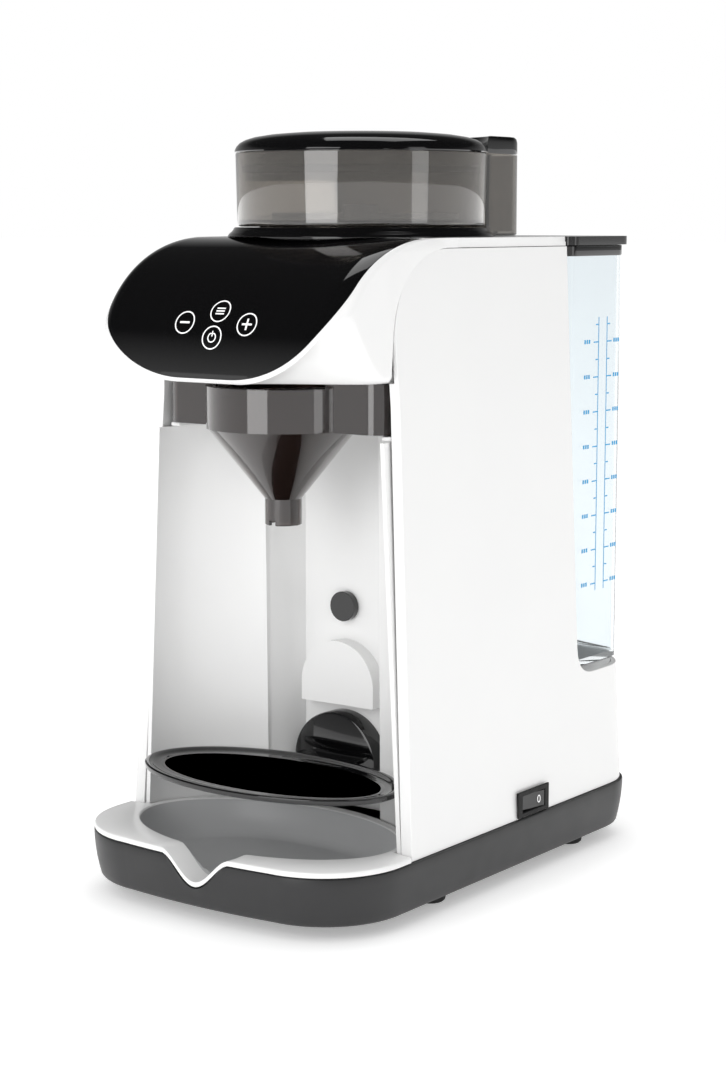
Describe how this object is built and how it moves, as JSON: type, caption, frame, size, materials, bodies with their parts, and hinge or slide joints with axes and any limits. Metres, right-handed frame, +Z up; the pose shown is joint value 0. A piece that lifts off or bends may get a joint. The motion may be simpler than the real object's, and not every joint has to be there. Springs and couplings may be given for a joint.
{
  "type": "infant formula dispenser",
  "caption": "Counter-top infant formula maker: smoked powder drum over a gloss nose, funnel and spout above an oval stand and pouring drip tray, white leaning sides, clear rear tank.",
  "frame": {"origin": "on the table under the centre of the bounding box", "axes": "+Z up, -Y the front with the spout, +X the side with the mains switch"},
  "size_m": [0.185, 0.2957, 0.39],
  "materials": {
    "white_plastic": "smooth satin-gloss moulded",
    "gloss_black_plastic": "high-gloss moulded",
    "charcoal_plastic": "fine satin",
    "smoked_plastic": "smoke-tinted clear",
    "brown_smoked_plastic": "dark brown tinted clear",
    "clear_plastic": "clear",
    "grey_plastic": "smooth",
    "black_rubber": "matt",
    "steel": "plain",
    "circuit_board": "solder-masked",
    "silicone_tube": "translucent"
  },
  "bodies": {
    "housing": {"side_shell_left": "white_plastic", "side_shell_right": "white_plastic", "rear_housing": "white_plastic", "bay_wall": "white_plastic", "funnel_bay": "white_plastic", "upper_housing": "white_plastic", "funnel_rail_left": "white_plastic", "funnel_rail_right": "white_plastic", "bottle_sensor": "gloss_black_plastic", "control_cover": "gloss_black_plastic", "container_dock": "gloss_black_plastic", "base_skirt": "charcoal_plastic", "base_plate": "charcoal_plastic", "water_pump": "charcoal_plastic", "tank_seat": "grey_plastic", "drive_bracket": "grey_plastic", "powder_chute": "grey_plastic", "foot_front_left": "black_rubber", "foot_front_right": "black_rubber", "foot_rear_left": "black_rubber", "foot_rear_right": "black_rubber", "power_inlet": "black_rubber", "switch_bezel": "black_rubber", "base_screw_front_left": "steel", "base_screw_front_right": "steel", "base_screw_rear_left": "steel", "base_screw_rear_right": "steel", "drive_motor": "steel", "heater_block": "steel", "water_nozzle": "steel", "touch_board": "circuit_board", "power_board": "circuit_board", "suction_hose": "silicone_tube", "feed_hose": "silicone_tube", "hot_water_hose": "silicone_tube"},
    "drip_tray": {"drip_tray": "white_plastic"},
    "bottle_stand": {"bottle_stand": "gloss_black_plastic"},
    "funnel": {"mixing_funnel": "brown_smoked_plastic", "funnel_cover": "brown_smoked_plastic", "funnel_core": "brown_smoked_plastic"},
    "container": {"powder_container": "smoked_plastic", "lobe_cap": "gloss_black_plastic"},
    "powder_lid": {"powder_lid": "gloss_black_plastic", "powder_lid_seal": "black_rubber"},
    "dosing": {"dosing_wheel": "grey_plastic", "stirrer": "grey_plastic"},
    "drive_gear": {"drive_gear": "grey_plastic"},
    "motor_pinion": {"motor_pinion": "steel"},
    "tank": {"water_tank": "clear_plastic"},
    "tank_lid": {"tank_lid": "gloss_black_plastic", "tank_lid_seal": "black_rubber"},
    "tank_valve": {"tank_valve": "grey_plastic"},
    "switch_rocker": {"switch_rocker": "gloss_black_plastic"}
  },
  "joints": [
    {"name": "tray_lift", "type": "slide", "parent": "housing", "child": "drip_tray", "axis": [0, 0, 1], "range_m": [0, 0.02]},
    {"name": "stand_pull", "type": "slide", "parent": "housing", "child": "bottle_stand", "axis": [0, -1, 0], "range_m": [0, 0.05]},
    {"name": "funnel_drawer", "type": "slide", "parent": "housing", "child": "funnel", "axis": [0, -1, 0], "range_m": [0, 0.07]},
    {"name": "container_lift", "type": "slide", "parent": "housing", "child": "container", "axis": [0, 0, 1], "range_m": [0, 0.06]},
    {"name": "powder_lid_lift", "type": "slide", "parent": "container", "child": "powder_lid", "axis": [0, 0, 1], "range_m": [0, 0.04]},
    {"name": "dosing_spin", "type": "hinge", "parent": "container", "child": "dosing", "pos_m": [0, -0.005, 0.333], "axis": [0, 0, 1], "continuous": true},
    {"name": "gear_spin", "type": "hinge", "parent": "housing", "child": "drive_gear", "pos_m": [0, -0.005, 0.304], "axis": [0, 0, 1], "continuous": true},
    {"name": "pinion_spin", "type": "hinge", "parent": "housing", "child": "motor_pinion", "pos_m": [0, 0.025, 0.304], "axis": [0, 0, 1], "continuous": true},
    {"name": "tank_lift", "type": "slide", "parent": "housing", "child": "tank", "axis": [0, 0, 1], "range_m": [0, 0.08]},
    {"name": "tank_lid_lift", "type": "slide", "parent": "tank", "child": "tank_lid", "axis": [0, 0, 1], "range_m": [0, 0.03]},
    {"name": "valve_lift", "type": "slide", "parent": "tank", "child": "tank_valve", "axis": [0, 0, 1], "range_m": [0, 0.003]},
    {"name": "switch_rock", "type": "hinge", "parent": "housing", "child": "switch_rocker", "pos_m": [0.0878, 0.0235, 0.0408], "axis": [0, 0, 1], "range_deg": [0, 12]}
  ],
  "couplings": [
    {"joint": "pinion_spin", "follows": "gear_spin", "ratio": -4},
    {"joint": "dosing_spin", "follows": "gear_spin", "ratio": 1}
  ]
}
